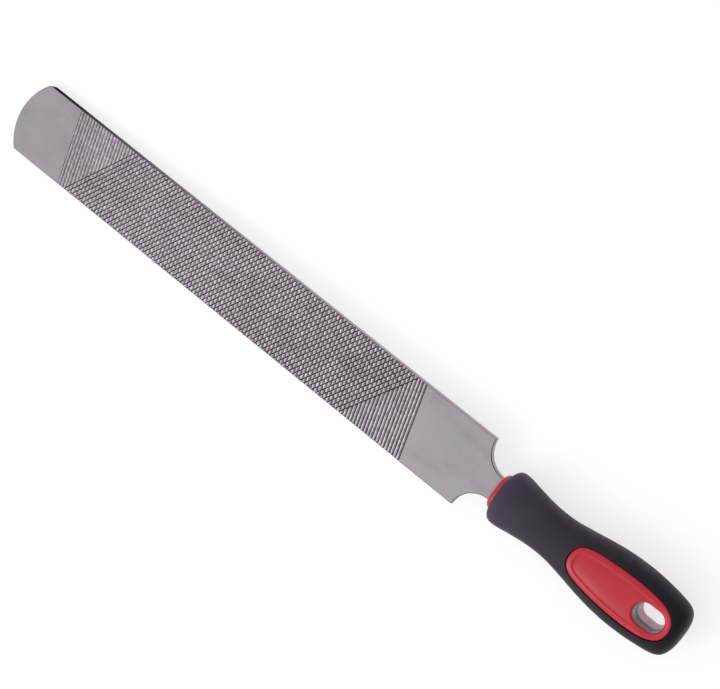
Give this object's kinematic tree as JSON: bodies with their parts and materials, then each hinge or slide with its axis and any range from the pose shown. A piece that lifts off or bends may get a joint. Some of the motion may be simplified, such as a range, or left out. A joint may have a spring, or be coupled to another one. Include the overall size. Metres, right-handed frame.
{
  "type": "farrier rasp",
  "caption": "Long flat steel hoof rasp with a bowed tip and notched shoulders, its tang set in a soft-grip handle with a hanging slot through the butt.",
  "frame": {"origin": "middle of the overall box, on the rasp's centre line, half way between the tip and the handle's butt", "axes": "+X along the rasp from the tip to the handle's butt, +Z the normal of the file-cut face, +Y across the blade"},
  "size_m": [0.4894, 0.0446, 0.026],
  "materials": {
    "rasp_steel": "bare steel with a satin, slightly stained surface",
    "red_core_plastic": "semi-gloss moulded",
    "black_grip_rubber": "matt moulded"
  },
  "bodies": {
    "root": {"rasp_blade": "rasp_steel", "handle_core": "red_core_plastic", "grip_overmould": "black_grip_rubber"}
  },
  "joints": []
}
